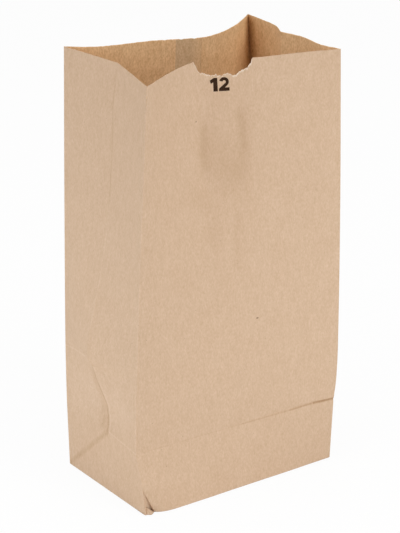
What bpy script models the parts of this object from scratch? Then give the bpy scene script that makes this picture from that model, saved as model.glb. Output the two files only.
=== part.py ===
"""A brown paper lunch bag, standing open on its glued bottom.

The real bag is one sheet of kraft paper. It is lapped and glued into a tube up the back, its two
sides are creased down the middle to tuck in, and its foot is folded over and glued into a flat
rectangular bottom. The front has a thumb notch at the mouth.

Metres, +Z up. The origin is under the middle of the bottom, on the surface that the bag stands on.
The front, with the notch, faces -Y, and +X is to the right of someone who looks at the front.
"""

import math

import bmesh
import bpy
from mathutils import Vector

# Sizes of the bag as it is made
BAG_WIDTH = 0.1794
BAG_DEPTH = 0.1127
BAG_HEIGHT = 0.352
PAPER = 0.00011

# The glued lap up the back, from the back left fold
SEAM_FROM_FOLD = 0.071
SEAM_LAP = 0.0195
SEAM_STEP = 0.0003

# The two glued flaps under the bottom
FLAP_LAP = 0.016
FLAP_INSET = 0.0004

# The thumb notch, torn through the front at the mouth: right of the middle, and down from the mouth
NOTCH_OUTLINE = ((-0.0141, 0.0), (-0.0112, -0.0088), (-0.0037, -0.0117), (0.0040, -0.0121),
                 (0.0123, -0.0111), (0.0146, -0.0137), (0.0170, -0.0111), (0.0216, -0.0077),
                 (0.0259, -0.0046), (0.0286, 0.0))
NOTCH_OVERCUT = 0.004

# The crease across the front at the cross fold: a shallow valley that fades out to the left
CREASE_DEPTH = 0.0004
CREASE_RISE = 0.0016

# The open tuck at the foot of the front left fold: how far its two edges and its root stand in
TUCK_HEIGHT = 0.025
TUCK_SIDE_EDGE = Vector((0.0012, 0.0018, 0.0))
TUCK_FRONT_EDGE = Vector((0.0098, 0.0057, 0.0))
TUCK_ROOT = Vector((0.0137, 0.0094, 0.0))
TUCK_SPREAD = 0.030

# Heights up the sheet at which the upright folds' places are given, between the cross fold and the mouth
KNEE = 0.074
BELLY = 0.106
SHOULDER = 0.225

# How far each upright fold of the standing bag has moved from its place on a square box: to the
# right, to the back and upwards, at the cross fold, the knee, the belly, the shoulder and the mouth
FRONT_LEFT_SETTLED = ((-0.0023, 0.0134, -0.0053), (-0.0018, 0.0140, -0.0045),
                      (-0.0003, 0.0149, -0.0030), (0.0082, 0.0192, -0.0010), (0.0164, 0.0215, 0.0))
FRONT_RIGHT_SETTLED = ((-0.0012, -0.0054, -0.0006), (-0.0001, -0.0069, -0.0005),
                       (0.0008, -0.0073, -0.0004), (0.0036, -0.0031, -0.0002), (0.0064, 0.0036, 0.0))
RIGHT_MIDDLE_SETTLED = ((-0.0017, -0.0020, -0.0020), (-0.0027, -0.0035, -0.0015),
                        (-0.0041, -0.0050, -0.0010), (-0.0082, -0.0010, 0.0), (-0.0115, 0.0057, 0.0))
BACK_RIGHT_SETTLED = ((0.0013, -0.0023, -0.0003), (0.0025, -0.0040, -0.0003),
                      (0.0040, -0.0070, -0.0003), (0.0003, -0.0053, 0.0), (-0.0046, -0.0020, 0.0))
BACK_LEFT_SETTLED = ((0.0015, 0.0052, -0.0003), (0.0027, 0.0074, -0.0003),
                     (0.0066, 0.0137, -0.0003), (0.0100, 0.0166, 0.0), (0.0138, 0.0191, 0.0))
LEFT_MIDDLE_SETTLED = ((0.0012, 0.0007, -0.0043), (-0.0008, 0.0035, -0.0035),
                       (-0.0073, 0.0115, -0.0020), (0.0116, 0.0178, 0.0), (0.0274, 0.0207, 0.0))

# How far each panel's mouth bows inwards, at shares of the way round from fold to fold
FRONT_BOW = ((0.0, 0.0), (0.07, 0.0072), (0.14, 0.0145), (0.26, 0.0252), (0.37, 0.0305), (0.48, 0.0245),
             (0.60, 0.0158), (0.80, 0.0085), (1.0, 0.0))
RIGHT_FRONT_BOW = ((0.0, 0.0), (0.30, 0.0022), (0.65, -0.0021), (1.0, 0.0))
RIGHT_BACK_BOW = ((0.0, 0.0), (0.30, -0.0042), (1.0, 0.0))
BACK_BOW = ((0.0, 0.0), (0.06, 0.0090), (0.13, 0.0182), (0.24, 0.0280), (0.36, 0.0320), (0.60, 0.0205),
            (0.85, 0.0125), (1.0, 0.0))
NO_BOW = ((0.0, 0.0), (1.0, 0.0))
BOW_SPREAD = 1.15

# How finely the sheet is divided
FRONT_CELLS = 16
BACK_CELLS = 14
SIDE_CELLS = 6
UPPER_CELLS = 24

KRAFT = (0.62, 0.43, 0.28, 1.0)
KRAFT_ROUGHNESS = 0.85

# Weights of the thickness group, which runs up to two layers of paper
ONE_LAYER = 0.5
TWO_LAYERS = 1.0

# Points of the sheet closer than this are one point
SAME_PLACE = 0.00001

HALF_WIDTH = BAG_WIDTH / 2
HALF_DEPTH = BAG_DEPTH / 2
CROSS_FOLD = HALF_DEPTH
BOTTOM_LEVEL = 2 * PAPER
LEVELS = (CROSS_FOLD, KNEE, BELLY, SHOULDER, BAG_HEIGHT)


def smooth_through(knots, values, at):
    """The value at a place on a smooth curve that passes through the values at the knots."""
    last = len(knots) - 1
    start = 0
    while start < last - 1 and at > knots[start + 1]:
        start += 1

    def slope(index):
        before = max(index - 1, 0)
        after = min(index + 1, last)
        return (values[after] - values[before]) / (knots[after] - knots[before])

    span = knots[start + 1] - knots[start]
    t = (at - knots[start]) / span
    from_start = values[start] * (2 * t**3 - 3 * t**2 + 1)
    to_end = values[start + 1] * (3 * t**2 - 2 * t**3)
    leaving = slope(start) * (span * (t**3 - 2 * t**2 + t))
    arriving = slope(start + 1) * (span * (t**3 - t**2))
    return from_start + to_end + leaving + arriving


class UprightFold:
    """One of the six folds that run up the bag, as a curve through its settled places."""

    def __init__(self, right, back, settled):
        self.foot = Vector((right, back, BOTTOM_LEVEL))
        self.stops = []
        for level, moved in zip(LEVELS, settled):
            self.stops.append(self.foot + Vector(moved) + Vector((0.0, 0.0, level)))

    def at(self, up):
        if up <= CROSS_FOLD:
            return self.foot.lerp(self.stops[0], up / CROSS_FOLD)
        return smooth_through(LEVELS, self.stops, up)


FRONT_LEFT = UprightFold(-HALF_WIDTH, -HALF_DEPTH, FRONT_LEFT_SETTLED)
FRONT_RIGHT = UprightFold(HALF_WIDTH, -HALF_DEPTH, FRONT_RIGHT_SETTLED)
RIGHT_MIDDLE = UprightFold(HALF_WIDTH, 0.0, RIGHT_MIDDLE_SETTLED)
BACK_RIGHT = UprightFold(HALF_WIDTH, HALF_DEPTH, BACK_RIGHT_SETTLED)
BACK_LEFT = UprightFold(-HALF_WIDTH, HALF_DEPTH, BACK_LEFT_SETTLED)
LEFT_MIDDLE = UprightFold(-HALF_WIDTH, 0.0, LEFT_MIDDLE_SETTLED)


def tuck_shift(step, up):
    """How far an edge of the tuck stands in from the front left fold."""
    return step * max(0.0, 1.0 - up / TUCK_HEIGHT)


def bowed(start, end, bow, share, up):
    """A point between two folds' points, on a panel that bows inwards towards the mouth."""
    along = end - start
    inwards = Vector((-along.y, along.x, 0.0)).normalized()
    opened = max(0.0, (up - CROSS_FOLD) / (BAG_HEIGHT - CROSS_FOLD)) ** BOW_SPREAD
    shares = [knot for knot, depth in bow]
    depths = [depth for knot, depth in bow]
    return start + along * share + inwards * (smooth_through(shares, depths, share) * opened)


def front_point(share, up):
    near_tuck = max(0.0, 1.0 - share * BAG_WIDTH / TUCK_SPREAD) ** 2
    near_crease = max(0.0, 1.0 - abs(up - CROSS_FOLD) / CREASE_RISE)
    point = bowed(FRONT_LEFT.at(up), FRONT_RIGHT.at(up), FRONT_BOW, share, up)
    point.y += CREASE_DEPTH * near_crease * share
    return point + tuck_shift(TUCK_FRONT_EDGE, up) * near_tuck


def back_point(share, up):
    return bowed(BACK_RIGHT.at(up), BACK_LEFT.at(up), BACK_BOW, share, up)


def side_foot(corner, middle, inwards, up):
    """A point low on half a side, which is creased at 45 degrees up to the middle fold."""
    foot = corner.foot
    to_middle_top = middle.stops[0] - foot
    if up > inwards:
        above = (corner.stops[0] - foot) * ((up - inwards) / CROSS_FOLD)
        return foot + above + to_middle_top * (inwards / CROSS_FOLD)
    below = (middle.foot - foot) * ((inwards - up) / CROSS_FOLD)
    return foot + below + to_middle_top * (up / CROSS_FOLD)


def to_middle(corner, middle, bow):
    """Half a side that runs round from its corner fold to its middle fold."""
    def point(share, up):
        if up < CROSS_FOLD:
            return side_foot(corner, middle, share * HALF_DEPTH, up)
        return bowed(corner.at(up), middle.at(up), bow, share, up)
    return point


def from_middle(middle, corner, bow):
    """Half a side that runs round from its middle fold to its corner fold."""
    def point(share, up):
        if up < CROSS_FOLD:
            return side_foot(corner, middle, (1.0 - share) * HALF_DEPTH, up)
        return bowed(middle.at(up), corner.at(up), bow, share, up)
    return point


def even_shares(cells):
    return [step / cells for step in range(cells)]


def back_shares():
    """Places across the back, with a close pair at each edge of the glued lap."""
    far_edge = 1.0 - (SEAM_FROM_FOLD + SEAM_LAP) / BAG_WIDTH
    near_edge = 1.0 - SEAM_FROM_FOLD / BAG_WIDTH
    step = SEAM_STEP / BAG_WIDTH
    doubled = [far_edge + step, (far_edge + near_edge) / 2, near_edge - step]
    clear = 1 / (2 * BACK_CELLS)
    shares = [far_edge, *doubled, near_edge]
    for share in even_shares(BACK_CELLS):
        if share < far_edge - clear or share > near_edge + clear:
            shares.append(share)
    return sorted(shares), doubled


def upright_lines(panel, shares, doubled=()):
    """Upright lines across a panel: where each is at a height, and whether the paper is double there."""
    return [(lambda up, share=share: panel(share, up), share in doubled) for share in shares]


def sheet_columns():
    """All the upright lines round the bag, from the root of the tuck to the tuck's edge on the side."""
    half_side = even_shares(SIDE_CELLS)
    back, lapped = back_shares()
    return [
        (lambda up: FRONT_LEFT.at(up) + tuck_shift(TUCK_ROOT, up), False),
        *upright_lines(front_point, even_shares(FRONT_CELLS)),
        *upright_lines(to_middle(FRONT_RIGHT, RIGHT_MIDDLE, RIGHT_FRONT_BOW), half_side),
        *upright_lines(from_middle(RIGHT_MIDDLE, BACK_RIGHT, RIGHT_BACK_BOW), half_side),
        *upright_lines(back_point, back, lapped),
        *upright_lines(to_middle(BACK_LEFT, LEFT_MIDDLE, NO_BOW), half_side),
        *upright_lines(from_middle(LEFT_MIDDLE, FRONT_LEFT, NO_BOW), half_side),
        (lambda up: FRONT_LEFT.at(up) + tuck_shift(TUCK_SIDE_EDGE, up), False),
    ]


def sheet_rows():
    """Heights up the sheet. The foot is cut as finely as half a side, so its creases meet points."""
    foot = [CROSS_FOLD * step / SIDE_CELLS for step in range(SIDE_CELLS)]
    above = BAG_HEIGHT - CROSS_FOLD
    walls = [CROSS_FOLD + above * step / UPPER_CELLS for step in range(1, UPPER_CELLS + 1)]
    return [*foot, CROSS_FOLD, CROSS_FOLD + CREASE_RISE, *walls]


def paper_sheet():
    """The open surface of the outside of the bag, one sheet thick all over, and its doubled points."""
    shape = bmesh.new()
    layers = shape.verts.layers.deform.verify()
    columns = sheet_columns()
    rows = sheet_rows()
    grid = []
    for place, doubled in columns:
        line = []
        for row, up in enumerate(rows):
            point = shape.verts.new(place(up))
            point[layers][0] = TWO_LAYERS if doubled and row > 0 else ONE_LAYER
            line.append(point)
        grid.append(line)

    side_starts = (1 + FRONT_CELLS, len(columns) - 1 - 2 * SIDE_CELLS)
    for column in range(len(columns)):
        near = grid[column]
        far = grid[(column + 1) % len(columns)]
        for row in range(len(rows) - 1):
            panel = shape.faces.new((near[row], far[row], far[row + 1], near[row + 1]))
            for start in side_starts:
                out = column - start
                if out == row and out < SIDE_CELLS:
                    bmesh.utils.face_split(panel, near[row], far[row + 1])
                elif 2 * SIDE_CELLS - 1 - out == row and SIDE_CELLS <= out < 2 * SIDE_CELLS:
                    bmesh.utils.face_split(panel, far[row], near[row + 1])
    shape.faces.new([line[0] for line in reversed(grid)])
    bmesh.ops.remove_doubles(shape, verts=shape.verts, dist=SAME_PLACE)
    return shape


def prism(name, outline, thickness, collection):
    """A closed solid of a flat outline, centred on its own plane."""
    curve = bpy.data.curves.new(name, "CURVE")
    curve.dimensions = "2D"
    curve.fill_mode = "BOTH"
    curve.extrude = thickness / 2
    spline = curve.splines.new("POLY")
    spline.points.add(len(outline) - 1)
    for point, (across, along) in zip(spline.points, outline):
        point.co = (across, along, 0.0, 1.0)
    spline.use_cyclic_u = True
    drawn = bpy.data.objects.new(name + "_outline", curve)
    collection.objects.link(drawn)
    bpy.context.view_layer.update()
    filled = drawn.evaluated_get(bpy.context.evaluated_depsgraph_get())
    solid_mesh = bpy.data.meshes.new_from_object(filled)
    bpy.data.objects.remove(drawn)
    weld = bmesh.new()
    weld.from_mesh(solid_mesh)
    bmesh.ops.remove_doubles(weld, verts=weld.verts, dist=SAME_PLACE)
    weld.to_mesh(solid_mesh)
    weld.free()
    solid = bpy.data.objects.new(name, solid_mesh)
    solid.hide_render = True
    solid.display_type = "WIRE"
    collection.objects.link(solid)
    return solid


def bottom_flap(name, left, right, towards, lowest, collection):
    """A glued flap: from its fold it runs to just past the middle, with its ends mitred at 45 degrees."""
    reach = HALF_DEPTH + FLAP_LAP / 2 - FLAP_INSET
    left_end = Vector((left.x + FLAP_INSET, left.y + FLAP_INSET * towards))
    right_end = Vector((right.x - FLAP_INSET, right.y + FLAP_INSET * towards))
    outline = (
        left_end,
        right_end,
        right_end + Vector((-reach, reach * towards)),
        left_end + Vector((reach, reach * towards)),
    )
    highest = BOTTOM_LEVEL + PAPER / 2
    flap = prism(name, outline, highest - lowest, collection)
    flap.location.z = (highest + lowest) / 2
    return flap


def join(bag, other, operation):
    step = bag.modifiers.new(other.name, "BOOLEAN")
    step.operation = operation
    step.solver = "EXACT"
    step.object = other


def kraft_paper():
    material = bpy.data.materials.new("kraft_paper")
    material.use_nodes = True
    shader = material.node_tree.nodes["Principled BSDF"]
    shader.inputs["Base Color"].default_value = KRAFT
    shader.inputs["Roughness"].default_value = KRAFT_ROUGHNESS
    return material


for old in list(bpy.data.objects):
    bpy.data.objects.remove(old)

bag_parts = bpy.data.collections.new("paper_lunch_bag")
cutters = bpy.data.collections.new("cutters")
bpy.context.scene.collection.children.link(bag_parts)
bpy.context.scene.collection.children.link(cutters)

bag_mesh = bpy.data.meshes.new("paper_bag")
bag = bpy.data.objects.new("paper_bag", bag_mesh)
bag_parts.objects.link(bag)
paper_layers = bag.vertex_groups.new(name="paper_layers")
sheet = paper_sheet()
sheet.to_mesh(bag_mesh)
sheet.free()
bag_mesh.materials.append(kraft_paper())

# The sheet grows inwards from its outside. The group makes it one paper thick, or two at the lap.
thicken = bag.modifiers.new("paper_thickness", "SOLIDIFY")
thicken.thickness = 2 * PAPER
thicken.offset = -1.0
thicken.use_even_offset = True
thicken.vertex_group = paper_layers.name

notch_outline = [(across, BAG_HEIGHT + BOTTOM_LEVEL + down) for across, down in NOTCH_OUTLINE]
notch_top = BAG_HEIGHT + BOTTOM_LEVEL + NOTCH_OVERCUT
notch_outline.append((NOTCH_OUTLINE[-1][0], notch_top))
notch_outline.append((NOTCH_OUTLINE[0][0], notch_top))
notch = prism("thumb_notch", notch_outline, HALF_DEPTH, cutters)
notch.rotation_euler.x = math.pi / 2
notch.location.y = -HALF_DEPTH / 2
join(bag, notch, "DIFFERENCE")

# The front flap starts clear of the tuck, and the back flap is glued over it from below.
tuck_root = FRONT_LEFT.foot + TUCK_ROOT
front_flap = bottom_flap("front_flap", tuck_root, FRONT_RIGHT.foot, 1, PAPER, cutters)
back_flap = bottom_flap("back_flap", BACK_LEFT.foot, BACK_RIGHT.foot, -1, 0.0, cutters)
join(bag, front_flap, "UNION")
join(bag, back_flap, "UNION")
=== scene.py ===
"""The looks of an open brown paper lunch bag: its folded kraft paper sheet, its glued bottom flaps and
its printed size number, on a white table in soft light.

Metres, +Z up. Places on the sheet are given as a distance round the bag from the front left fold,
positive across the front and negative across the left side, and a height up the sheet.
"""

import math

import bmesh
import bpy
import numpy as np
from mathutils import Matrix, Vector, noise
from mathutils.bvhtree import BVHTree


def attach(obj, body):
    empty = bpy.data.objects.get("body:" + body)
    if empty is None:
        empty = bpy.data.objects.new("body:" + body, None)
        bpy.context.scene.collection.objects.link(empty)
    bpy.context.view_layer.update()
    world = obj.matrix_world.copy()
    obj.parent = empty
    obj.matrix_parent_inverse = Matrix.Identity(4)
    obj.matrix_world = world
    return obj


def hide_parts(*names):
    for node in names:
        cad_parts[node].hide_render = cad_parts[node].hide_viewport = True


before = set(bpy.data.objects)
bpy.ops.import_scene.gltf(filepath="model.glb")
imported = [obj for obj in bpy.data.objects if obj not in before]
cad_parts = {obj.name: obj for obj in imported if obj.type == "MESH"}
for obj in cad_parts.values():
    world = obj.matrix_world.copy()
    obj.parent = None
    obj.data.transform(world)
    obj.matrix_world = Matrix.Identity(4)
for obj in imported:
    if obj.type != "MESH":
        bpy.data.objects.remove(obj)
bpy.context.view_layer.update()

# The view. The camera stands two and a half metres off, round to the left of the bag's front and
# looking down on it a little, with a long lens that keeps the upright folds almost parallel.
VIEW_CENTRE = Vector((0.0, 0.0, 0.176))
VIEW_AIM = Vector((0.0, 0.0, 0.1733))
VIEW_AZIMUTH = math.radians(-35.2)
VIEW_ELEVATION = math.radians(23.91)
VIEW_DISTANCE = 2.5
VIEW_LENS_MM = 213.06
SENSOR_MM = 36.0

to_camera = Vector((
    math.sin(VIEW_AZIMUTH) * math.cos(VIEW_ELEVATION),
    -math.cos(VIEW_AZIMUTH) * math.cos(VIEW_ELEVATION),
    math.sin(VIEW_ELEVATION),
))
lens = bpy.data.cameras.new("view")
lens.lens = VIEW_LENS_MM
lens.sensor_width = SENSOR_MM
camera = bpy.data.objects.new("view", lens)
camera.location = VIEW_CENTRE + to_camera * VIEW_DISTANCE
camera.rotation_euler = (camera.location - VIEW_AIM).to_track_quat("Z", "Y").to_euler()
scene = bpy.context.scene
scene.collection.objects.link(camera)
scene.camera = camera
scene.view_settings.view_transform = "Standard"


# The white table and the room. The table is plain white board, and the room is a pale tent that
# lights the bag evenly from all round. Both look white to the camera, and the table keeps the shadow.
class Field:
    """A socket of a shader. Sums, products and powers of fields add Math nodes to it."""

    def __init__(self, tree, socket=None):
        self.tree = tree
        self.socket = socket

    def node(self, kind, settings, sockets, output=0):
        """Any other node: its settings first, then the values or links of its sockets."""
        made = self.tree.nodes.new(kind)
        for name, value in settings.items():
            setattr(made, name, value)
        for name, value in sockets.items():
            if isinstance(value, Field):
                self.tree.links.new(value.socket, made.inputs[name])
            else:
                made.inputs[name].default_value = value
        return Field(self.tree, made.outputs[output] if made.outputs else None)

    def other(self, output):
        """Another output of the same node."""
        return Field(self.tree, self.socket.node.outputs[output])

    def maths(self, operation, *values):
        return self.node("ShaderNodeMath", {"operation": operation}, dict(enumerate(values)))

    def __add__(self, other):
        return self.maths("ADD", self, other)

    def __sub__(self, other):
        return self.maths("SUBTRACT", self, other)

    def __rsub__(self, other):
        return self.maths("SUBTRACT", other, self)

    def __mul__(self, other):
        return self.maths("MULTIPLY", self, other)

    def __pow__(self, power):
        return self.maths("POWER", self, power)

    __radd__ = __add__
    __rmul__ = __mul__

    def at_least(self, other):
        return self.maths("MAXIMUM", self, other)

    def at_most(self, other):
        return self.maths("MINIMUM", self, other)

    def rise(self, start, end):
        """0 up to the start, 1 from the end on, and a soft step between them."""
        ends = {"Value": self, "From Min": start, "From Max": end}
        return self.node("ShaderNodeMapRange", {"interpolation_type": "SMOOTHSTEP"}, ends)

    def tint(self, colour, other):
        """The first colour where this field is 0, and the other where it is 1."""
        return self.node("ShaderNodeMix", {"data_type": "RGBA"}, {0: self, 6: colour, 7: other}, 2)


def started(tree):
    """An emptied shader tree, as a field to hang nodes on."""
    tree.nodes.clear()
    return Field(tree)


def looked_at(tree):
    """1 where the camera, a mirror or glass looks, and 0 where light only bounces."""
    rays = tree.node("ShaderNodeLightPath", {}, {})
    seen = rays.other("Is Camera Ray")
    for kind in ("Is Glossy Ray", "Is Transmission Ray"):
        seen = seen.at_least(rays.other(kind))
    return seen


WHITE = (1.0, 1.0, 1.0, 1.0)
TENT_STRENGTH = 0.45
TABLE_SIZE = 9.0
TABLE_DROP = 0.0003
TABLE_COLOUR = (0.90, 0.90, 0.90, 1.0)
TABLE_GLOW = 0.94

tent = bpy.data.worlds.new("pale_tent")
tent.use_nodes = True
air = started(tent.node_tree)
lighting = air.node("ShaderNodeBackground", {}, {"Color": WHITE, "Strength": TENT_STRENGTH})
backdrop = air.node("ShaderNodeBackground", {}, {"Color": WHITE, "Strength": 1.0})
tent_light = air.node("ShaderNodeMixShader", {}, {0: looked_at(air), 1: lighting, 2: backdrop})
air.node("ShaderNodeOutputWorld", {}, {"Surface": tent_light})
scene.world = tent

board = bpy.data.materials.new("white_board")
board.use_nodes = True
skin = started(board.node_tree)
shaded = skin.node("ShaderNodeBsdfDiffuse", {}, {"Color": TABLE_COLOUR})
glowing = skin.node("ShaderNodeEmission", {}, {"Color": WHITE, "Strength": 1.0})
glow = looked_at(skin) * TABLE_GLOW
board_finish = skin.node("ShaderNodeMixShader", {}, {0: glow, 1: shaded, 2: glowing})
skin.node("ShaderNodeOutputMaterial", {}, {"Surface": board_finish})

table_top = bmesh.new()
bmesh.ops.create_grid(table_top, x_segments=1, y_segments=1, size=TABLE_SIZE / 2)
table_mesh = bpy.data.meshes.new("table")
table_top.to_mesh(table_mesh)
table_top.free()
table_mesh.materials.append(board)
table = bpy.data.objects.new("table", table_mesh)
table.location.z = -TABLE_DROP
scene.collection.objects.link(table)

# The lamps. Wide soft boxes: one overhead, one off each visible side, and two small ones near the
# table that stand for the light which the white sweep throws back at the bag's foot. Each has its
# place, the place it faces, its size, its watts and its colour.
DAYLIGHT = (1.0, 1.0, 1.0)
WARM = (1.0, 0.97, 0.92)
COOL = (0.78, 0.90, 1.0)
SOFT_BOXES = (
    ("overhead", (0.0, 0.1, 1.7), (0.0, 0.0, 0.0), 1.2, 9.5, DAYLIGHT),
    ("key", (0.7, -2.0, 1.8), (0.0, 0.0, 0.15), 1.0, 17.5, WARM),
    ("fill", (-2.1, -0.4, 1.2), (0.0, 0.0, 0.15), 1.4, 9.2, DAYLIGHT),
    ("low_left", (-0.55, 0.05, 0.05), (-0.09, 0.01, 0.07), 0.25, 0.95, COOL),
    ("low_front", (0.12, -0.62, 0.05), (0.02, -0.056, 0.06), 0.25, 1.10, COOL),
)
for name, place, aim, size, watts, colour in SOFT_BOXES:
    lamp = bpy.data.lights.new(name, "AREA")
    lamp.size = size
    lamp.energy = watts
    lamp.color = colour
    soft_box = bpy.data.objects.new(name, lamp)
    soft_box.location = place
    soft_box.rotation_euler = (Vector(place) - Vector(aim)).to_track_quat("Z", "Y").to_euler()
    soft_box.visible_camera = False
    scene.collection.objects.link(soft_box)


# The kraft paper sheet. One sheet of thin brown paper is lapped and glued into a tube up the back and
# creased at four corners and down the middle of both sides. Its foot is creased at 45 degrees on the
# sides, and the mouth has a thumb notch that was torn open. Standing open, the panels lean and bow.
BAG_WIDTH = 0.1794
BAG_DEPTH = 0.1127
BAG_HEIGHT = 0.352
PAPER = 0.00011
BOTTOM_LEVEL = 2 * PAPER
HALF_WIDTH = BAG_WIDTH / 2
HALF_DEPTH = BAG_DEPTH / 2
CROSS_FOLD = HALF_DEPTH

# Heights up the sheet at which the upright folds' places are given
FOLD_LEVELS = (CROSS_FOLD, 0.074, 0.106, 0.225, BAG_HEIGHT)


def smooth_through(knots, values, at):
    """Values on the smooth curve that passes through the values at the knots."""
    knots = np.array(knots)
    values = np.array(values)
    last = len(knots) - 1
    before = np.maximum(np.arange(last + 1) - 1, 0)
    after = np.minimum(np.arange(last + 1) + 1, last)
    slopes = ((values[after] - values[before]).T / (knots[after] - knots[before])).T
    start = np.clip(np.searchsorted(knots, at) - 1, 0, last - 1)
    span = knots[start + 1] - knots[start]
    t = (at - knots[start]) / span
    if values.ndim > 1:
        t = np.expand_dims(t, -1)
        span = np.expand_dims(span, -1)
    from_start = values[start] * (2 * t**3 - 3 * t**2 + 1)
    to_end = values[start + 1] * (3 * t**2 - 2 * t**3)
    leaving = slopes[start] * span * (t**3 - 2 * t**2 + t)
    arriving = slopes[start + 1] * span * (t**3 - t**2)
    return from_start + to_end + leaving + arriving


class UprightFold:
    """One of the six folds up the bag, moved to the right, back and up from a square box's place at
    each of the fold levels. A sway pushes it further to the right at heights of its own."""

    def __init__(self, right, back, *moved, sway=((0.0, 0.0), (1.0, 0.0))):
        self.foot = np.array((right, back, BOTTOM_LEVEL))
        stops = [self.foot + (0.0, 0.0, level) for level in FOLD_LEVELS]
        self.stops = np.array(stops) + np.array(moved)
        self.sway = sway

    def at(self, up):
        low = self.foot + (self.stops[0] - self.foot) * (up / CROSS_FOLD)[:, None]
        high = smooth_through(FOLD_LEVELS, self.stops, up)
        pushed = np.interp(up, *zip(*self.sway))[:, None] * (1.0, 0.0, 0.0)
        return np.where((up <= CROSS_FOLD)[:, None], low, high) + pushed


FRONT_LEFT = UprightFold(
    -HALF_WIDTH, -HALF_DEPTH, (-0.0023, 0.0134, -0.0053), (-0.0018, 0.0140, -0.0045),
    (-0.0003, 0.0149, -0.0030), (0.0082, 0.0192, -0.0010), (0.0164, 0.0215, 0.0))
FRONT_RIGHT = UprightFold(
    HALF_WIDTH, -HALF_DEPTH, (-0.0012, -0.0054, -0.0006), (-0.0001, -0.0069, -0.0005),
    (0.0008, -0.0073, -0.0004), (0.0036, -0.0031, -0.0002), (0.0064, 0.0036, 0.0))
RIGHT_MIDDLE = UprightFold(
    HALF_WIDTH, 0.0, (-0.0017, -0.0020, -0.0020), (-0.0027, -0.0035, -0.0015),
    (-0.0041, -0.0050, -0.0010), (-0.0082, -0.0010, 0.0), (-0.0115, 0.0057, 0.0),
    sway=((0.200, 0.0), (BAG_HEIGHT, 0.0035)))
BACK_RIGHT = UprightFold(
    HALF_WIDTH, HALF_DEPTH, (0.0013, -0.0023, -0.0003), (0.0025, -0.0040, -0.0003),
    (0.0040, -0.0070, -0.0003), (0.0003, -0.0053, 0.0), (-0.0046, -0.0020, 0.0))
BACK_LEFT = UprightFold(
    -HALF_WIDTH, HALF_DEPTH, (0.0015, 0.0052, -0.0003), (0.0027, 0.0074, -0.0003),
    (0.0066, 0.0137, -0.0003), (0.0100, 0.0166, 0.0), (0.0138, 0.0191, 0.0))
LEFT_MIDDLE = UprightFold(
    -HALF_WIDTH, 0.0, (0.0012, 0.0007, -0.0043), (-0.0008, 0.0035, -0.0035),
    (-0.0073, 0.0115, -0.0020), (0.0116, 0.0178, 0.0), (0.0274, 0.0207, 0.0),
    sway=((CROSS_FOLD, 0.0), (0.066, 0.0030), (0.078, 0.0046), (0.092, 0.0046), (0.103, 0.0034),
          (0.111, 0.0006), (0.1165, -0.0042), (0.122, -0.0048), (0.134, -0.0036), (0.156, -0.0012),
          (0.177, 0.0015), (0.217, 0.0028), (0.244, 0.0029), (0.272, 0.0021), (0.299, 0.0006),
          (0.318, -0.0012), (0.336, -0.0006), (BAG_HEIGHT, 0.0)))

# How far each panel's mouth bows inwards, at shares of the way across it
FRONT_BOW = ((0.0, 0.0), (0.07, 0.0072), (0.14, 0.0145), (0.26, 0.0252), (0.37, 0.0305),
             (0.48, 0.0245), (0.60, 0.0158), (0.80, 0.0085), (1.0, 0.0))
RIGHT_FRONT_BOW = ((0.0, 0.0), (0.30, 0.0022), (0.65, -0.0021), (1.0, 0.0))
RIGHT_BACK_BOW = ((0.0, 0.0), (0.30, -0.0042), (1.0, 0.0))
BACK_BOW = ((0.0, 0.0), (0.06, 0.0090), (0.13, 0.0182), (0.24, 0.0280), (0.36, 0.0320),
            (0.60, 0.0205), (0.85, 0.0125), (1.0, 0.0))
FLAT = ((0.0, 0.0), (1.0, 0.0))
BOW_SPREAD = 1.15


def bowed(start, end, bow, share, up):
    """Points between two folds' points, on a panel that bows inwards towards the mouth."""
    along = end - start
    inwards = np.stack((-along[:, 1], along[:, 0], np.zeros(len(up))), axis=1)
    inwards /= np.linalg.norm(inwards, axis=1)[:, None]
    opened = np.maximum(0.0, (up - CROSS_FOLD) / (BAG_HEIGHT - CROSS_FOLD)) ** BOW_SPREAD
    depth = smooth_through(*zip(*bow), share)
    return start + along * share + inwards * (depth * opened)[:, None]


# The open tuck at the foot of the front left fold: how far its edge on the side, the two corners at
# its root and its edge on the front stand in from the fold, and their shares of the way round it
TUCK_HEIGHT = 0.025
TUCK_SPREAD = 0.030
TUCK_STEPS = np.array((
    (0.0009, 0.0042, 0.0), (0.0046, 0.0078, 0.0), (0.0092, 0.0084, 0.0), (0.0099, 0.0054, 0.0)))
TUCK_SHARES = (0.0, 0.45, 0.60, 1.0)
TUCK_SIDE_EDGE = TUCK_STEPS[0]
TUCK_FRONT_EDGE = TUCK_STEPS[-1]
PLEAT_LINES = 14


def tucked(step, up):
    """How far the open tuck moves a point, in full at the foot and not at all above the tuck."""
    return step * np.maximum(0.0, 1.0 - up / TUCK_HEIGHT)[:, None]


def front(distance, up):
    share = distance / BAG_WIDTH
    panel = bowed(FRONT_LEFT.at(up), FRONT_RIGHT.at(up), FRONT_BOW, share, up)
    return panel + tucked(TUCK_FRONT_EDGE, up) * max(0.0, 1.0 - distance / TUCK_SPREAD) ** 2


def back(distance, up):
    return bowed(BACK_RIGHT.at(up), BACK_LEFT.at(up), BACK_BOW, distance / BAG_WIDTH, up)


def side_foot(corner, middle, inwards, up):
    """Half a side below the cross fold, which is creased at 45 degrees up to the middle fold."""
    foot = corner.foot
    above = (corner.stops[0] - foot) * (np.maximum(up - inwards, 0.0) / CROSS_FOLD)[:, None]
    below = (middle.foot - foot) * (np.maximum(inwards - up, 0.0) / CROSS_FOLD)[:, None]
    crease = (middle.stops[0] - foot) * (np.minimum(up, inwards) / CROSS_FOLD)[:, None]
    return foot + above + below + crease


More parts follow.
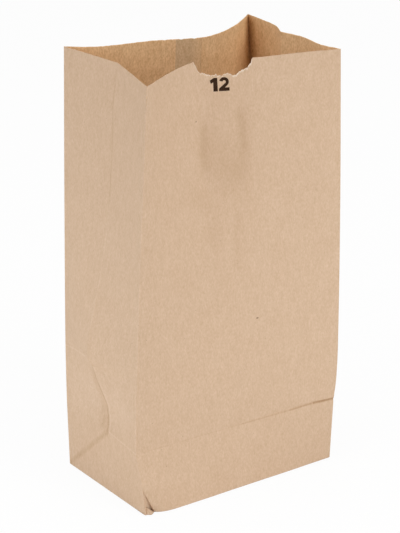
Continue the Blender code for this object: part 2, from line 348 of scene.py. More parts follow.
def half_side(corner, middle, bow, outwards):
    """Half a side panel, which runs from its middle fold out to its corner fold or the other way."""
    def place(distance, up):
        share = distance / HALF_DEPTH
        inwards = HALF_DEPTH - distance if outwards else distance
        ends = (middle, corner) if outwards else (corner, middle)
        upper = bowed(ends[0].at(up), ends[1].at(up), bow, share, up)
        lower = side_foot(corner, middle, inwards, up)
        return np.where((up < CROSS_FOLD)[:, None], lower, upper)
    return place


def left_side_front(distance, up):
    """The front half of the left side, whose edge stands in where the tuck opens."""
    panel = half_side(FRONT_LEFT, LEFT_MIDDLE, FLAT, True)(distance, up)
    from_fold = HALF_DEPTH - distance
    return panel + tucked(TUCK_SIDE_EDGE, up) * max(0.0, 1.0 - from_fold / TUCK_SPREAD) ** 2


def pleat(share, up):
    """The tuck's inner fold: from its edge on the side, in to its root, and out to the front's."""
    step = np.array([np.interp(share, TUCK_SHARES, axis) for axis in TUCK_STEPS.T])
    return FRONT_LEFT.at(up) + tucked(step, up)


# The glued lap up the back, from the back left fold. The end from the left side lies inside, and the
# end from the right side steps over its free edge and is pasted down outside.
SEAM_FROM_FOLD = 0.0929
SEAM_LAP = 0.0223
SEAM_STEP = 0.0008
LAP_LIFT = 1.25 * PAPER
LAP_START = BAG_WIDTH - SEAM_FROM_FOLD - SEAM_LAP
LAP_END = BAG_WIDTH - SEAM_FROM_FOLD

# How far apart the lines of points on the sheet are, and the close lines that round each fold
ACROSS_STEP = 0.0023
NOTCH_STEP = 0.0007
NOTCH_FROM = 0.0580
NOTCH_TO = 0.1090
FOLD_ROUNDING = (0.0004, 0.0011)
SIDE_CELLS = 24
CREASE_ROWS = 11
CREASE_TOP = 0.0610
MIDDLE_ROWS = 86
RIM_FOOT = 0.329
RIM_ROWS = 14
RIM_CROWDING = 1.4
BOTTOM_RADIUS = 0.0006


def spread(start, end, step):
    """Evenly spaced places from the start up to, but not including, the end."""
    cells = max(1, round((end - start) / step))
    return [start + (end - start) * cell / cells for cell in range(cells)]


def with_fold_lines(places, length):
    """The places, and close lines beside the fold at each end of a panel."""
    clear = FOLD_ROUNDING[-1] + ACROSS_STEP / 4
    kept = [place for place in places if place == 0.0 or clear < place < length - clear]
    kept += list(FOLD_ROUNDING)
    kept += [length - rounding for rounding in FOLD_ROUNDING]
    return sorted(kept)


class Line:
    """An upright line of the sheet: its distance round the bag, how to place a point at a height, the
    way in from the nearest corner for the sides' creases, and how far a lapped end is lifted out."""

    def __init__(self, around, place, inwards=None, lift=0.0):
        self.around = around
        self.place = place
        self.inwards = inwards
        self.lift = lift


def panel_lines(place, places, begins, corner=None):
    """One panel's lines at places across it, from where the panel begins on the sheet."""
    made = []
    for distance in places:
        inwards = None
        if corner is not None:
            inwards = distance if corner == "start" else HALF_DEPTH - distance
        made.append(Line(begins + distance, lambda up, d=distance: place(d, up), inwards))
    return made


half_places = with_fold_lines(
    [HALF_DEPTH * cell / SIDE_CELLS for cell in range(SIDE_CELLS)], HALF_DEPTH)
front_places = spread(0.0, NOTCH_FROM, ACROSS_STEP) + spread(NOTCH_FROM, NOTCH_TO, NOTCH_STEP)
front_places += spread(NOTCH_TO, BAG_WIDTH, ACROSS_STEP)
front_places = with_fold_lines(front_places, BAG_WIDTH)
lap_places = spread(LAP_START, LAP_END, ACROSS_STEP)
after_lap = [p for p in with_fold_lines(spread(LAP_END, BAG_WIDTH, ACROSS_STEP), BAG_WIDTH)
             if p >= LAP_END]
before_lap = with_fold_lines(spread(0.0, LAP_START - SEAM_STEP, ACROSS_STEP), BAG_WIDTH)
before_lap = [p for p in before_lap if p < LAP_START - SEAM_STEP - FOLD_ROUNDING[0]]
before_lap += [LAP_START - SEAM_STEP]

BACK_FROM = BAG_WIDTH + BAG_DEPTH
LEFT_FROM = -BAG_DEPTH
lines = panel_lines(back, lap_places + after_lap, LEFT_FROM - BAG_WIDTH)
lines += panel_lines(half_side(BACK_LEFT, LEFT_MIDDLE, FLAT, False), half_places, LEFT_FROM, "start")
lines += panel_lines(left_side_front, half_places, LEFT_FROM + HALF_DEPTH, "end")
for line in range(PLEAT_LINES):
    lines.append(Line(0.0, lambda up, share=line / PLEAT_LINES: pleat(share, up)))
lines += panel_lines(front, front_places, 0.0)
lines += panel_lines(
    half_side(FRONT_RIGHT, RIGHT_MIDDLE, RIGHT_FRONT_BOW, False), half_places, BAG_WIDTH, "start")
lines += panel_lines(
    half_side(BACK_RIGHT, RIGHT_MIDDLE, RIGHT_BACK_BOW, True), half_places,
    BAG_WIDTH + HALF_DEPTH, "end")
lines += panel_lines(back, before_lap, BACK_FROM)
for distance in lap_places + [LAP_END]:
    lines.append(Line(
        BACK_FROM + distance, lambda up, d=distance: back(d, up), lift=LAP_LIFT))

# The mouth's edge. It is cut with a toothed blade, and the thumb notch is torn out of the front.
NOTCH_EDGE = (
    (0.0590, 0.3522), (0.0603, 0.3503), (0.0617, 0.3476), (0.0635, 0.3446), (0.0644, 0.3429),
    (0.0658, 0.3428), (0.0680, 0.3419), (0.0705, 0.3409), (0.0729, 0.3403), (0.0760, 0.3397),
    (0.0784, 0.3403), (0.0806, 0.3392), (0.0836, 0.3397), (0.0859, 0.3407), (0.0882, 0.3406),
    (0.0905, 0.3393), (0.0923, 0.3382), (0.0942, 0.3404), (0.0964, 0.3419), (0.0979, 0.3430),
    (0.1002, 0.3437), (0.1025, 0.3453), (0.1040, 0.3466), (0.1048, 0.3486), (0.1057, 0.3512),
    (0.1062, 0.3522))
TORN_TOOTH = 0.0034
TORN_PITCH = 0.0028
FRAY = 0.0010
CUT_TOOTH = 0.00028
NICKS = ((-0.2206, 0.0011, 0.0013), (-0.2105, 0.0006, 0.0010), (-0.1960, 0.0005, 0.0012),
         (0.3636, 0.0011, 0.0013), (0.3740, 0.0006, 0.0010))
SEED = 12

# How far the torn fibres show below the notch's edge, at distances round the bag
TORN_AT = (0.060, 0.088, 0.095, 0.107)
TORN_WIDTH = (0.0007, 0.0008, 0.0018, 0.0022)


def mouth_height(around):
    """The height of the mouth's edge at distances round the bag."""
    chance = np.random.default_rng(SEED)
    cut = BAG_HEIGHT - CUT_TOOTH * chance.random(len(around))
    for place, depth, half_width in NICKS:
        cut -= depth * np.maximum(0.0, 1.0 - np.abs(around - place) / half_width)
    edge_at, edge_height = np.array(NOTCH_EDGE).T
    torn = np.interp(around, edge_at, edge_height, left=1.0, right=1.0)
    tooth = np.abs((around / TORN_PITCH) % 1.0 - 0.5) * chance.uniform(0.3, 1.0, len(around))
    fray = FRAY * (chance.random(len(around)) - 0.5)
    return np.minimum(cut, torn + TORN_TOOTH * (tooth - 0.25) + fray)


around = np.array([line.around for line in lines])
mouth = mouth_height(around)
foot_rows = [0.0, BOTTOM_RADIUS / 4, BOTTOM_RADIUS]
foot_rows += [CROSS_FOLD * cell / SIDE_CELLS for cell in range(1, SIDE_CELLS)]
low_rows = foot_rows + spread(CROSS_FOLD, CREASE_TOP, (CREASE_TOP - CROSS_FOLD) / CREASE_ROWS)
low_rows += spread(CREASE_TOP, RIM_FOOT, (RIM_FOOT - CREASE_TOP) / MIDDLE_ROWS)
rim_shares = 1.0 - np.linspace(1.0, 0.0, RIM_ROWS) ** RIM_CROWDING
up = np.empty((len(lines), len(low_rows) + RIM_ROWS))
up[:, :len(low_rows)] = low_rows
up[:, len(low_rows):] = RIM_FOOT + (mouth[:, None] - RIM_FOOT) * rim_shares
points = np.array([line.place(up[number]) for number, line in enumerate(lines)])
round_bag = np.repeat(around[:, None], up.shape[1], axis=1)


def outward_normals(points):
    """Unit normals of the grid of points, facing out of the bag."""
    across = np.gradient(points, axis=0)
    upwards = np.gradient(points, axis=1)
    normals = np.cross(across, upwards)
    length = np.linalg.norm(normals, axis=2, keepdims=True)
    return normals / np.maximum(length, 1e-12)


normals = outward_normals(points)

# The paper's relief. It has buckled a little where it was handled, with three long dents in the front,
# and it kept the crease across the front where the folded bottom lay against it.
FOLDS = (LEFT_FROM, -HALF_DEPTH, 0.0, BAG_WIDTH, BAG_WIDTH + HALF_DEPTH, BACK_FROM)
STIFF_BY_FOLD = 0.012

# The buckling: how deep, how wide, and a seed
BUCKLES = ((0.0009, 0.075, 3.0), (0.00022, 0.020, 7.0))

# The dents in the front: how deep, how wide, and along which line
DENTS = (
    (0.0008, 0.0060, ((0.0675, 0.303), (0.0675, 0.285), (0.0665, 0.267), (0.070, 0.252), (0.076, 0.246))),
    (0.0008, 0.0055, ((0.095, 0.313), (0.0975, 0.300), (0.0975, 0.264), (0.0935, 0.248))),
    (0.0004, 0.0045, ((0.0915, 0.224), (0.0920, 0.186))),
)

# Painted shade beside the front's dents, and one painted highlight (the negative strength) between two of
# them: how strongly, how wide, and along which line
DENT_SHADE_LINES = (
    (0.62, 0.0040, ((0.0668, 0.299), (0.0665, 0.278), (0.0680, 0.268))),
    (0.62, 0.0036, ((0.0945, 0.309), (0.0972, 0.299), (0.0985, 0.283))),
    (0.40, 0.0060, ((0.0980, 0.278), (0.0950, 0.262))),
    (0.28, 0.0150, ((0.0760, 0.286), (0.0860, 0.268))),
    (0.20, 0.0110, ((0.0830, 0.262), (0.0925, 0.248))),
    (0.26, 0.0080, ((0.0600, 0.246), (0.0640, 0.240))),
    (0.26, 0.0060, ((0.0700, 0.222), (0.0720, 0.214))),
    (0.30, 0.0034, ((0.0915, 0.226), (0.0920, 0.184))),
    (-0.35, 0.0045, ((0.0840, 0.304), (0.0880, 0.302))),
)
CROSS_CREASE = ((0.0, 0.0568), (0.050, 0.0570), (0.093, 0.0577), (0.127, 0.0583), (0.153, 0.0588),
                (BAG_WIDTH, 0.0563))
CROSS_CREASE_WIDTH = 0.0009
CROSS_CREASE_DEPTH = ((0.03, 0.0), (0.07, 0.00012), (BAG_WIDTH, 0.00050))


def near_line(drawn, half_width):
    """1 on a line drawn on the sheet, falling softly to 0 away from it."""
    nearest = np.full(up.shape, 1.0)
    for (here, low), (there, high) in zip(drawn, drawn[1:]):
        step, rise = there - here, high - low
        along = ((round_bag - here) * step + (up - low) * rise) / (step**2 + rise**2)
        along = np.clip(along, 0.0, 1.0)
        away = np.hypot(round_bag - here - along * step, up - low - along * rise)
        nearest = np.minimum(nearest, away)
    return np.exp(-(nearest / half_width) ** 2)


def buckle(size, seed):
    """Soft unevenness of that size all over the sheet, from -1 to 1."""
    made = np.empty(up.shape)
    for index, point in enumerate(points.reshape(-1, 3)):
        made.flat[index] = noise.noise(Vector(point / size) + Vector((seed, 0.0, 0.0)))
    return made


def off_folds():
    """0 on the upright folds and 1 in the middle of the panels."""
    nearest = np.full(up.shape, 1.0)
    for fold in FOLDS:
        nearest = np.minimum(nearest, np.abs(round_bag - fold))
    return 1.0 - np.exp(-(nearest / STIFF_BY_FOLD) ** 2)


relief = np.zeros(up.shape)
for depth, size, seed in BUCKLES:
    relief += depth * buckle(size, seed) * off_folds()
for depth, half_width, drawn in DENTS:
    relief -= depth * near_line(drawn, half_width)
on_front = (round_bag >= 0.0) & (round_bag <= BAG_WIDTH)
crease_depth = np.interp(round_bag, *zip(*CROSS_CREASE_DEPTH))
relief -= on_front * crease_depth * near_line(CROSS_CREASE, CROSS_CREASE_WIDTH)
relief += np.array([line.lift for line in lines])[:, None]
bottom_turn = np.clip(1.0 - up / BOTTOM_RADIUS, 0.0, 1.0)
relief -= BOTTOM_RADIUS * (1.0 - np.sqrt(1.0 - bottom_turn**2))
points = points + normals * relief[:, :, None]

# Points closer than this are one point, and faces thinner than a sliver are taken out
SAME_POINT = 0.00001
SLIVER = 0.000001
SHARP_FROM = math.radians(20.0)

sheet = bmesh.new()
places = sheet.loops.layers.uv.new("sheet")
# How much painted shade lies on each point beside the front's dents
dent_shade = sheet.verts.layers.float.new("dent_shade")
dent_shade_amount = sum(strength * near_line(drawn, half_width) for strength, half_width, drawn in DENT_SHADE_LINES)
torn = sheet.verts.layers.float.new("torn")
torn_width = np.interp(around, TORN_AT, TORN_WIDTH)[:, None]
in_notch = (around > NOTCH_EDGE[0][0]) & (around < NOTCH_EDGE[-1][0])
frayed = in_notch[:, None] * np.exp(-((mouth[:, None] - up) / torn_width) ** 2)
grid = []
for number in range(len(lines)):
    column = []
    for row in range(up.shape[1]):
        point = sheet.verts.new(points[number, row])
        point[dent_shade] = dent_shade_amount[number, row]
        point[torn] = frayed[number, row]
        column.append(point)
    grid.append(column)


def sheet_face(corners, slots):
    """A face of the sheet, with each corner's place on the flat sheet."""
    face = sheet.faces.new(corners)
    for loop, (number, row) in zip(face.loops, slots):
        loop[places].uv = (around[number], up[number, row])


def on_crease(number, row):
    """Whether a point lies on a side's 45 degree crease."""
    inwards = lines[number].inwards
    return inwards is not None and abs(inwards - up[number, row]) < 1e-6


for number in range(len(lines) - 1):
    for row in range(up.shape[1] - 1):
        slots = [(number, row), (number + 1, row), (number + 1, row + 1), (number, row + 1)]
        if on_crease(number, row) and on_crease(number + 1, row + 1):
            pieces = (slots[:3], [slots[0], *slots[2:]])
        elif on_crease(number + 1, row) and on_crease(number, row + 1):
            pieces = ([slots[0], slots[1], slots[3]], slots[1:])
        else:
            pieces = (slots,)
        for piece in pieces:
            sheet_face([grid[line][level] for line, level in piece], piece)
bmesh.ops.remove_doubles(sheet, verts=sheet.verts, dist=SAME_POINT)
bmesh.ops.dissolve_degenerate(sheet, edges=sheet.edges, dist=SLIVER)
sheet_mesh = bpy.data.meshes.new("paper_sheet")
sheet.to_mesh(sheet_mesh)
sheet.free()
sheet_mesh.shade_smooth()
sheet_mesh.set_sharp_from_angle(angle=SHARP_FROM)
paper_sheet = bpy.data.objects.new("paper_sheet", sheet_mesh)
scene.collection.objects.link(paper_sheet)
thicken = paper_sheet.modifiers.new("paper_thickness", "SOLIDIFY")
thicken.thickness = PAPER
thicken.offset = -1.0
thicken.material_offset = 1
thicken.material_offset_rim = 2

# The paper's finish. Unbleached kraft pulp makes a matt brown sheet, clouded by its long fibres and
# specked with bark. Painted shade and painted highlights lie along its creases and folds, painted shade
# beside the front's dents, and painted shade deep in the back right fold inside.
KRAFT_OUTSIDE = (0.618, 0.432, 0.292, 1.0)
# The inside is brighter and more orange than the outside: partly the paper's inner tone, partly painted
# light that stands in for the light coming through the thin paper.
KRAFT_INSIDE = (0.865, 0.585, 0.325, 1.0)
KRAFT_EDGE = (0.720, 0.550, 0.400, 1.0)
KRAFT_FLECK = (0.20, 0.11, 0.055, 1.0)
DENT_SHADE_COLOUR = (0.35, 0.195, 0.078, 1.0)
KRAFT_TORN = (0.85, 0.73, 0.60, 1.0)
INNER_LAP_END = LEFT_FROM - BAG_WIDTH + LAP_END
INNER_LAP_START = LEFT_FROM - BAG_WIDTH + LAP_START
LAP_SHADE = (0.82, 0.86, 0.93)

# How many clouds, flocs, fibres and flecks of bark there are to the metre, and how strongly they show.
# The grain is drawn out upwards, and a darker place loses more green and blue than red.
CLOUDS_PER_METRE = 60.0
FLOCS_PER_METRE = 300.0
FIBRES_PER_METRE = 1000.0
FLECKS_PER_METRE = 420.0
UPRIGHT_GRAIN = (1.0, 1.0, 0.45)
CLOUD_TONE = 0.07
FLOC_TONE = 0.18
FIBRE_TONE = 0.36
FLECK_STRENGTH = 0.55
FLECK_LUCK = 0.955
DARKENING = (0.85, 1.15, 1.6)
DENT_SHADE_STRENGTH = 0.30
TORN_STRENGTH = 0.80
KRAFT_ROUGHNESS = 0.84
GRAIN_STRENGTH = 0.30
GRAIN_DEPTH = 0.0002

# Lines along the outside's creases and folds: dark ones are painted shade in the creases' valleys, and
# light ones are painted highlights on their ridges, partly paler worn fibres along the folds. Two broad
# ones on the left side are painted shade beside its middle fold and a painted pool of light above the
# cross fold. Each gives how much lighter (or darker) than the paper, how wide, and between which places
# on the sheet
CREASE_SHADE_AND_HIGHLIGHTS = (
    (-0.12, 0.0034, (LEFT_FROM, 0.001), (-HALF_DEPTH - 0.001, CROSS_FOLD - 0.001)),
    (0.08, 0.0012, (-HALF_DEPTH, CROSS_FOLD), (0.0, CROSS_FOLD)),
    (-0.13, 0.0020, (-HALF_DEPTH - 0.0008, CROSS_FOLD), (-HALF_DEPTH - 0.0008, 0.092)),
    (-0.11, 0.0016, (-HALF_DEPTH - 0.0008, 0.092), (-HALF_DEPTH - 0.0004, 0.116)),
    (-0.08, 0.0090, (-HALF_DEPTH - 0.006, CROSS_FOLD + 0.003), (-HALF_DEPTH - 0.003, 0.100)),
    (0.06, 0.0026, (-HALF_DEPTH + 0.0022, CROSS_FOLD), (-HALF_DEPTH + 0.0022, 0.108)),
    (0.07, 0.0012, (LEFT_FROM, 0.101), (-HALF_DEPTH, 0.114)),
    (0.05, 0.0260, (-0.095, 0.076), (-0.026, 0.084)),
    (0.06, 0.0011, (-HALF_DEPTH, 0.140), (-HALF_DEPTH, 0.235)),
    (-0.06, 0.0016, (-HALF_DEPTH, 0.245), (-HALF_DEPTH, 0.335)),
    (0.05, 0.0009, (0.0, 0.030), (0.0, 0.335)),
    (-0.05, 0.0005, (0.004, 0.0562), (0.050, 0.0568)),
    (-0.08, 0.0005, (0.050, 0.0568), (0.096, 0.0568)),
    (-0.13, 0.0012, (0.096, 0.0568), (0.1372, 0.0571)),
    (-0.24, 0.0014, (0.1388, 0.0571), (0.1586, 0.0577)),
    (-0.38, 0.0018, (0.1610, 0.0577), (BAG_WIDTH, 0.0568)),
    (-0.08, 0.0008, (BAG_WIDTH, 0.0), (BAG_WIDTH + HALF_DEPTH, CROSS_FOLD)),
    (-0.08, 0.0008, (BACK_FROM, 0.0), (BAG_WIDTH + HALF_DEPTH, CROSS_FOLD)),
    (0.05, 0.0007, (BAG_WIDTH, CROSS_FOLD), (BACK_FROM, CROSS_FOLD)),
    (0.05, 0.0007, (BAG_WIDTH + HALF_DEPTH, CROSS_FOLD), (BAG_WIDTH + HALF_DEPTH, 0.340)),
    (-0.08, 0.0006, (BACK_FROM, CROSS_FOLD), (BACK_FROM + BAG_WIDTH, CROSS_FOLD)),
    (-0.08, 0.0006, (LEFT_FROM - BAG_WIDTH, CROSS_FOLD), (LEFT_FROM, CROSS_FOLD)),
)

# The same for the inside: painted shade deep in the back right fold near the mouth, and a broader, weaker
# painted shade beside it
INSIDE_FOLD_SHADE = (
    (-0.38, 0.0120, (BACK_FROM - 0.0035, 0.230), (BACK_FROM - 0.0015, 0.344)),
    (-0.13, 0.0320, (BACK_FROM - 0.0160, 0.200), (BACK_FROM - 0.0160, 0.340)),
)

# Two larger specks of bark on the front: how far right, how high and how big
BARK_SPECKS = ((0.1070, 0.1428, 0.00090), (0.0598, 0.3056, 0.00060))


def crease_line(around, height, start, end, half_width):
    """1 along a straight line between two places on the sheet, falling softly to 0 beside it."""
    step, rise = end[0] - start[0], end[1] - start[1]
    length = step**2 + rise**2
    along = ((around - start[0]) * (step / length) + (height - start[1]) * (rise / length))
    along = along.at_least(0.0).at_most(1.0)
    away = (around - start[0] - along * step) ** 2 + (height - start[1] - along * rise) ** 2
    return 1.0 - (away ** 0.5).rise(0.0, half_width)


def kraft(name, colour, clouding=1.0, shade_and_highlight_lines=(), outside=False, lapped=False):
    """Kraft paper: its clouds, fibres and specks, and the painted shade and highlights on its outside or
    its inside.
    """
    material = bpy.data.materials.new(name)
    material.use_nodes = True
    paper = started(material.node_tree)
    solid = paper.node("ShaderNodeTexCoord", {}, {}, "Object")
    upright = paper.node("ShaderNodeMapping", {}, {"Vector": solid, "Scale": UPRIGHT_GRAIN})

    def cloud(vector, scale, detail):
        sockets = {"Vector": vector, "Scale": scale, "Detail": detail, "Roughness": 0.6}
        return paper.node("ShaderNodeTexNoise", {}, sockets) - 0.5

    pulp = cloud(solid, CLOUDS_PER_METRE, 2.0)
    floc = cloud(upright, FLOCS_PER_METRE, 3.0)
    fibre = cloud(upright, FIBRES_PER_METRE, 2.0)
    tone = (pulp * CLOUD_TONE + floc * FLOC_TONE + fibre * FIBRE_TONE) * clouding
    cells = paper.node("ShaderNodeTexVoronoi", {}, {"Vector": solid, "Scale": FLECKS_PER_METRE})
    lucky = paper.node("ShaderNodeSeparateColor", {}, {"Color": cells.other("Color")})
    flecks = (1.0 - cells.rise(0.06, 0.20)) * lucky.rise(FLECK_LUCK, 1.0) * FLECK_STRENGTH
    shade = 1.0 + tone
    sheet_place = paper.node("ShaderNodeUVMap", {"uv_map": "sheet"}, {})
    around = paper.node("ShaderNodeSeparateXYZ", {}, {"Vector": sheet_place})
    height = around.other("Y")
    # Painted shade and painted highlights along the creases and folds
    for change, half_width, start, end in shade_and_highlight_lines:
        shade = shade + crease_line(around, height, start, end, half_width) * change
    if outside:
        for right, up, size in BARK_SPECKS:
            speck = crease_line(around, height, (right, up), (right + size, up), size)
            flecks = flecks.at_least(speck)
    red, green, blue = (shade ** power for power in DARKENING)
    warmth = paper.node("ShaderNodeCombineXYZ", {}, {"X": red, "Y": green, "Z": blue})
    base = paper.node("ShaderNodeVectorMath", {"operation": "MULTIPLY"}, {0: colour[:3], 1: warmth})
    if outside:
        # Painted shade beside the front's dents, browner where the flocs are
        dent_shade_mask = paper.node("ShaderNodeAttribute", {"attribute_name": "dent_shade"}, {}, "Fac")
        base = (dent_shade_mask * DENT_SHADE_STRENGTH * (1.0 + floc * 1.5)).tint(base, DENT_SHADE_COLOUR)
        torn = paper.node("ShaderNodeAttribute", {"attribute_name": "torn"}, {}, "Fac")
        fluff = (torn * (1.0 + fibre * 3.0 + floc * 2.0)).rise(0.30, 0.90)
        base = (fluff * TORN_STRENGTH).tint(base, KRAFT_TORN)
    if lapped:
        doubled = 1.0 - around.rise(INNER_LAP_END - 0.0004, INNER_LAP_END + 0.0004)
        doubled = doubled * (0.35 + around.rise(INNER_LAP_START, INNER_LAP_START + 0.012) * 0.65)
        dimmed = paper.node("ShaderNodeVectorMath", {"operation": "MULTIPLY"}, {0: base, 1: LAP_SHADE})
        base = doubled.tint(base, dimmed)
    base = flecks.tint(base, KRAFT_FLECK)
    grain = paper.node("ShaderNodeBump", {}, {
        "Strength": GRAIN_STRENGTH, "Distance": GRAIN_DEPTH, "Height": fibre * 0.7 + floc * 0.6})
    finish = paper.node("ShaderNodeBsdfPrincipled", {}, {
        "Base Color": base,
        "Roughness": KRAFT_ROUGHNESS + fibre * 0.2,
        "Specular IOR Level": 0.25,
        "Normal": grain,
    })
    paper.node("ShaderNodeOutputMaterial", {}, {"Surface": finish})
    return material


outside_paper = kraft("kraft_outside", KRAFT_OUTSIDE, shade_and_highlight_lines=CREASE_SHADE_AND_HIGHLIGHTS, outside=True)
inside_paper = kraft("kraft_inside", KRAFT_INSIDE, clouding=2.0, shade_and_highlight_lines=INSIDE_FOLD_SHADE, lapped=True)
edge_paper = kraft("kraft_cut_edge", KRAFT_EDGE)
for side_paper in (outside_paper, inside_paper, edge_paper):
    sheet_mesh.materials.append(side_paper)
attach(paper_sheet, "root")
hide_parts("paper_bag")


# The bottom. The foot of the tube is folded in from all four sides and pasted into a flat bottom: the
# two end flaps first, then the front flap, and last the back flap, which is the lowest.
FLAP_LAP = 0.016
FLAP_INSET = 0.0004
FLAP_EDGE_STEP = 0.003
CORNER_RADIUS = 0.0022

# The front and back flaps' slanted edges cross as far in as the bag is half deep. The end flaps reach
# past that crossing, so that the bottom has no hole.
END_FLAP_PAST = 0.00265
END_FLAP_REACH = HALF_DEPTH + END_FLAP_PAST
END_FLAP_SLOPE = 0.86

# The foot of the open tuck, right of and behind the front left corner
TUCK_FOOT = ((0.0004, 0.0056), (0.0027, 0.0043), (0.0040, 0.0031), (0.0053, 0.0026),
             (0.0074, 0.0038), (0.0096, 0.0054))
ROUND_STEPS = 6


def rounded_corner(corner, radius, start):
    """Points round an outside corner, a quarter turn from the starting angle."""
    turn = [start + math.pi / 2 * step / ROUND_STEPS for step in range(ROUND_STEPS + 1)]
    inwards = Vector((math.cos(start + math.pi / 4), math.sin(start + math.pi / 4)))
    centre = corner - inwards * (radius * math.sqrt(2.0))
    return [centre + Vector((math.cos(angle), math.sin(angle))) * radius for angle in turn]


def flap(name, outline, level):
    """A flat piece of one sheet's thickness with that outline, on that level under the bag."""
    shape = bmesh.new()
    face = shape.faces.new([shape.verts.new((x, y, level)) for x, y in outline])
    if face.normal.z > 0.0:
        face.normal_flip()
    grown = bmesh.ops.extrude_face_region(shape, geom=[face])["geom"]
    top = [item for item in grown if isinstance(item, bmesh.types.BMVert)]
    bmesh.ops.translate(shape, verts=top, vec=(0.0, 0.0, PAPER))
    bmesh.ops.recalc_face_normals(shape, faces=shape.faces)
    mesh = bpy.data.meshes.new(name)
    shape.to_mesh(mesh)
    shape.free()
    mesh.materials.append(flap_paper)
    piece = bpy.data.objects.new(name, mesh)
    scene.collection.objects.link(piece)
    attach(piece, "root")


flap_paper = kraft("kraft_flaps", KRAFT_OUTSIDE)
edge_x = HALF_WIDTH - FLAP_INSET
edge_y = HALF_DEPTH - FLAP_INSET
far_end = edge_x - END_FLAP_REACH
narrow = edge_y - END_FLAP_REACH * END_FLAP_SLOPE
foot_corner = Vector((-HALF_WIDTH, -HALF_DEPTH, 0.0))
tuck_foot = [(foot_corner + Vector((*place, 0.0))).to_2d() for place in TUCK_FOOT]
round_foot = rounded_corner(Vector((edge_x, -edge_y)), CORNER_RADIUS, -math.pi / 2)
round_foot.reverse()
END_FLAPS = (("left_end_flap", -1.0, tuck_foot), ("right_end_flap", 1.0, round_foot))
for name, side, front_corner in END_FLAPS:
    outline = [Vector((side * edge_x, edge_y))] + front_corner
    outline += [Vector((side * far_end, -narrow)), Vector((side * far_end, narrow))]
    flap(name, outline, BOTTOM_LEVEL)

reach = HALF_DEPTH + FLAP_LAP / 2 - FLAP_INSET
ground = np.zeros(1)
edge_places = spread(0.0, TUCK_SPREAD, FLAP_EDGE_STEP)
front_fold = [Vector(front(distance, ground)[0][:2]) for distance in edge_places]
front_flap = [Vector((point.x, point.y + FLAP_INSET)) for point in front_fold]
front_flap += [
    Vector((-edge_x + TUCK_SPREAD, -edge_y)),
    Vector((edge_x, -edge_y)),
    Vector((edge_x - reach, -edge_y + reach)),
    Vector((-edge_x + reach, -edge_y + reach)),
    Vector((-edge_x + TUCK_SPREAD / 2, -edge_y + TUCK_SPREAD / 2)),
]
flap("front_flap", front_flap, PAPER)
back_flap = (
    Vector((edge_x, edge_y)),
    Vector((-edge_x, edge_y)),
    Vector((-edge_x + reach, edge_y - reach)),
    Vector((edge_x - reach, edge_y - reach)),
)
flap("back_flap", back_flap, 0.0)

# The tuck's corner. Where the tuck opens, the paper between the left end flap and the front flap wasn't
# pressed flat when the bottom was pasted, and its corner stands up in a small fold.
CORNER_PEAK = (0.0030, 0.0066, 0.0060)
CORNER_CELLS = 5
corner_shape = bmesh.new()
peak_point = foot_corner + Vector(CORNER_PEAK)
ribs = []
for place in tuck_foot:
    low = Vector((place.x, place.y, BOTTOM_LEVEL + PAPER))
    rib = [low.lerp(peak_point, cell / CORNER_CELLS) for cell in range(CORNER_CELLS)]
    ribs.append([corner_shape.verts.new(point) for point in rib])
peak = corner_shape.verts.new(peak_point)
for here, there in zip(ribs, ribs[1:]):
    for cell in range(CORNER_CELLS - 1):
        corner_shape.faces.new((here[cell], there[cell], there[cell + 1], here[cell + 1]))
    corner_shape.faces.new((here[-1], there[-1], peak))
corner_mesh = bpy.data.meshes.new("tuck_corner")
corner_shape.to_mesh(corner_mesh)
corner_shape.free()
corner_mesh.shade_smooth()
corner_mesh.materials.append(flap_paper)
tuck_corner = bpy.data.objects.new("tuck_corner", corner_mesh)
scene.collection.objects.link(tuck_corner)
thicken = tuck_corner.modifiers.new("paper_thickness", "SOLIDIFY")
thicken.thickness = PAPER
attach(tuck_corner, "root")


# The size number. A 12 is printed on the front, under the thumb notch, in dark brown-black ink that
# lies on the paper as a thin matt film.
INK_THICKNESS = 0.00003
INK_CELL = 0.0008
ONE = ((0.0760, 0.3268), (0.0794, 0.3268), (0.0792, 0.3374), (0.0767, 0.3374), (0.0734, 0.3355),
       (0.0741, 0.3329), (0.0760, 0.3339))
BOWL_CENTRE = (0.0843, 0.3340)
BOWL_OUTSIDE = 0.0037
BOWL_INSIDE = 0.0013
BOWL_FROM = math.radians(165.0)
BOWL_TO = math.radians(-38.0)
BOWL_STEPS = 12
TWO_FOOT = ((0.0849, 0.3296), (0.0884, 0.3296), (0.0884, 0.3269), (0.0803, 0.3269), (0.0803, 0.3289))

# The stretches, rightwards and upwards, that are cut into cells so that the ink follows the paper
NUMBER_CUTS = ((0.073, 0.089, (1.0, 0.0, 0.0)), (0.326, 0.338, (0.0, 1.0, 0.0)))


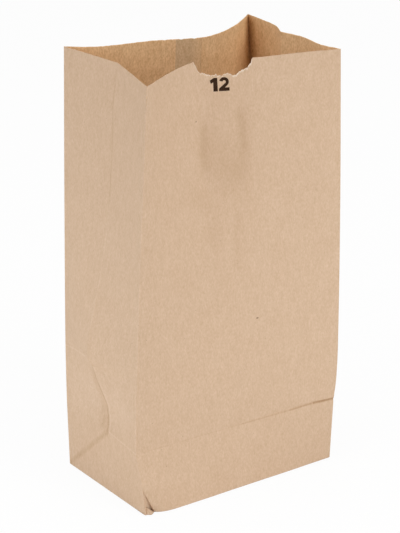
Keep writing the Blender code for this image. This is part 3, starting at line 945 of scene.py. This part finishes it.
def bowl(radius):
    """Points round the bowl of the 2, from its left end over the top to where the stroke leaves it."""
    angles = np.linspace(BOWL_FROM, BOWL_TO, BOWL_STEPS)
    right, up = BOWL_CENTRE
    return [(right + radius * math.cos(angle), up + radius * math.sin(angle)) for angle in angles]


two = bowl(BOWL_OUTSIDE) + list(TWO_FOOT) + bowl(BOWL_INSIDE)[::-1]
printed = bmesh.new()
for outline in (ONE, two):
    printed.faces.new([printed.verts.new((right, up, 0.0)) for right, up in outline])
for low, high, normal in NUMBER_CUTS:
    for cut in spread(low, high, INK_CELL):
        whole = printed.verts[:] + printed.edges[:] + printed.faces[:]
        place = Vector(normal) * cut
        bmesh.ops.bisect_plane(printed, geom=whole, plane_co=place, plane_no=normal)
bmesh.ops.triangulate(printed, faces=printed.faces)
surface = BVHTree.FromPolygons(
    [point.co for point in sheet_mesh.vertices], [tuple(face.vertices) for face in sheet_mesh.polygons])
for point in printed.verts:
    bare = Vector(front(point.co.x, np.array([point.co.y]))[0])
    nearest, facing = surface.find_nearest(bare)[:2]
    outwards = facing if facing.y < 0.0 else -facing
    point.co = nearest + outwards * (INK_THICKNESS / 2)
number_mesh = bpy.data.meshes.new("size_number")
printed.to_mesh(number_mesh)
printed.free()
number = bpy.data.objects.new("size_number", number_mesh)
scene.collection.objects.link(number)
film = number.modifiers.new("ink_film", "SOLIDIFY")
film.thickness = INK_THICKNESS
film.offset = 0.0

INK = (0.034, 0.015, 0.007, 1.0)
INK_THIN = (0.060, 0.030, 0.016, 1.0)
WEAR_PER_METRE = 900.0
ink = bpy.data.materials.new("printing_ink")
ink.use_nodes = True
print_film = started(ink.node_tree)
solid = print_film.node("ShaderNodeTexCoord", {}, {}, "Object")
worn = print_film.node(
    "ShaderNodeTexNoise", {}, {"Vector": solid, "Scale": WEAR_PER_METRE, "Detail": 3.0})
ink_colour = worn.rise(0.45, 0.75).tint(INK, INK_THIN)
ink_finish = print_film.node("ShaderNodeBsdfPrincipled", {}, {
    "Base Color": ink_colour,
    "Roughness": 0.75 + worn * 0.2,
    "Specular IOR Level": 0.1,
})
print_film.node("ShaderNodeOutputMaterial", {}, {"Surface": ink_finish})
number_mesh.materials.append(ink)
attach(number, "root")
